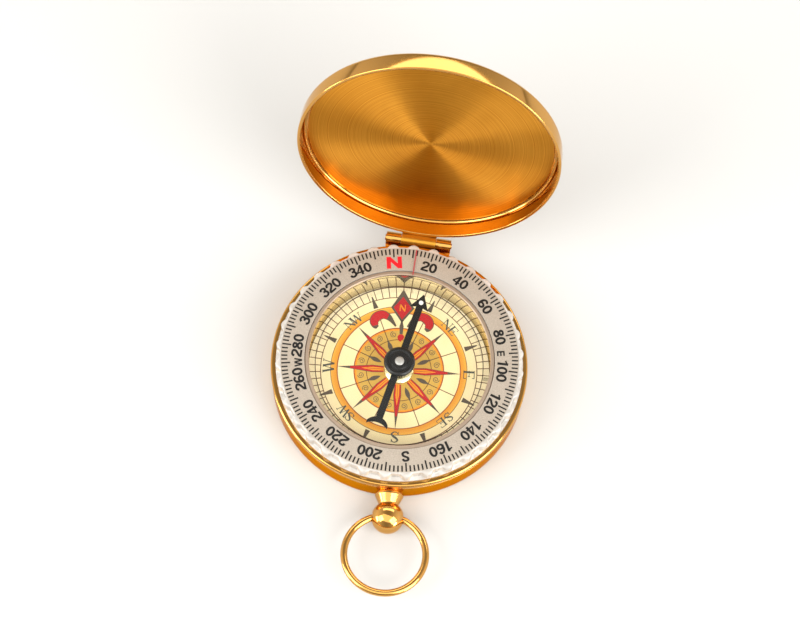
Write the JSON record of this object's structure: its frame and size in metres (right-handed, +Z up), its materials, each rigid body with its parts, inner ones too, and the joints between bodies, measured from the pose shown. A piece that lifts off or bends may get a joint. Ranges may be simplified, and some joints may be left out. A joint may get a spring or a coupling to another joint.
{
  "type": "geology compass",
  "caption": "Round brass pocket compass with a flip lid, clear ribbed bezel with a degree scale, printed rose dial, pivoted needle, ball pendant and bow ring.",
  "frame": {"origin": "centre of the case's flat underside", "axes": "+Z up through the dial, +Y towards the lid's hinge, -Y towards the pendant and bow ring, which stand 4.3 degrees to its +X side"},
  "size_m": [0.0504, 0.0877, 0.0569],
  "materials": {
    "brass": "polished",
    "brushed_brass": "spun brushed",
    "pale_brass": "polished",
    "copper_ring": "satin",
    "window_glass": "clear",
    "clear_plastic": "clear moulded",
    "scale_print": "printed, silver-beige",
    "dial_print": "printed card",
    "dark_seal": "satin",
    "steel": "bright",
    "needle_black": "gloss black",
    "index_red": "gloss red",
    "luminous_white": "luminous paint"
  },
  "bodies": {
    "base": {"case_shell": "brass", "rim_ring": "brass", "bezel_washer": "steel", "dial_well": "pale_brass", "dial_plate": "pale_brass", "dial_card": "dial_print", "dial_retainer": "clear_plastic", "retainer_band": "dark_seal", "window": "window_glass", "window_clamp": "copper_ring", "index_pointer": "index_red", "pivot_boss": "pale_brass", "pivot_post": "steel", "case_hinge_leaf": "brass", "hinge_pin": "brass", "pendant": "brass", "pendant_nut": "steel"},
    "lid": {"lid_shell": "brass", "lid_liner": "brushed_brass", "lid_hinge_leaf": "brass"},
    "bezel": {"bezel_ring": "clear_plastic", "degree_ring": "scale_print"},
    "needle": {"needle_blade": "needle_black", "needle_hub": "needle_black", "needle_jewel": "steel", "needle_dot": "luminous_white"},
    "bow": {"bow_ring": "brass"}
  },
  "joints": [
    {"name": "lid_hinge", "type": "hinge", "parent": "base", "child": "lid", "pos_m": [0, 0.0264, 0.00665], "axis": [1, 0, 0], "range_deg": [0, 102.5]},
    {"name": "bezel_turn", "type": "hinge", "parent": "base", "child": "bezel", "pos_m": [0, 0, 0.0072], "axis": [0, 0, 1], "continuous": true},
    {"name": "needle_spin", "type": "hinge", "parent": "base", "child": "needle", "pos_m": [0, 0, 0.008], "axis": [0, 0, 1], "continuous": true},
    {"name": "bow_swing", "type": "hinge", "parent": "base", "child": "bow", "pos_m": [0.00226, -0.03002, 0.0032], "axis": [-0.9972, -0.075, 0], "range_deg": [-126, 98]}
  ]
}
